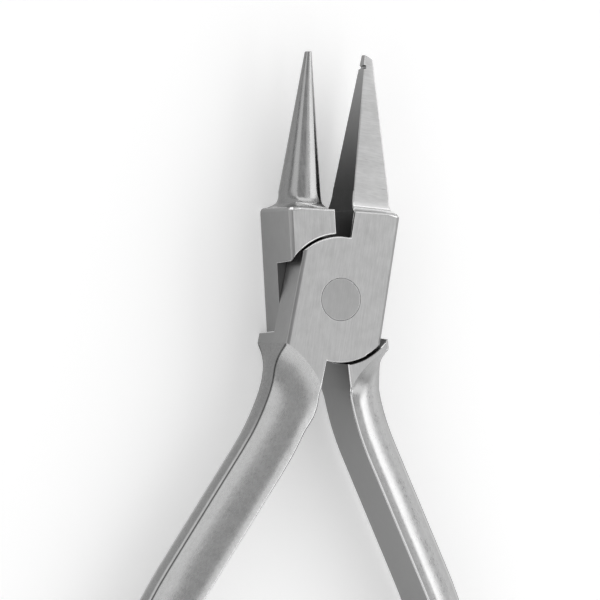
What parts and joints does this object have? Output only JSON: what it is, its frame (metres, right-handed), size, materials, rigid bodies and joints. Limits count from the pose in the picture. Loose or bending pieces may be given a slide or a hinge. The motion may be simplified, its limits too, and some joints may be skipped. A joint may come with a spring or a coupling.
{
  "type": "orthodontic pliers",
  "caption": "Slim wire-bending pliers with a round beak, a square beak with a wire groove, a riveted lap joint and splayed bow handles.",
  "frame": {"origin": "on the pivot axis, at the rivet's flush rear head", "axes": "+Z along the pivot axis towards the front face, +Y from the pivot to the beak tips, +X to the right seen from the front; the pliers lie on their back, open as pictured"},
  "size_m": [0.0592, 0.1225, 0.01],
  "materials": {
    "satin_stainless": "satin, brushed along the beaks and handles, with polished edges",
    "ground_stainless": "ground flush with the joint faces"
  },
  "bodies": {
    "front": {"front_half": "satin_stainless", "pivot_rivet": "ground_stainless"},
    "rear": {"rear_half": "satin_stainless"}
  },
  "joints": [
    {"name": "pliers_pivot", "type": "hinge", "parent": "front", "child": "rear", "pos_m": [0, 0, 0], "axis": [0, 0, 1], "range_deg": [-13, 60]}
  ]
}
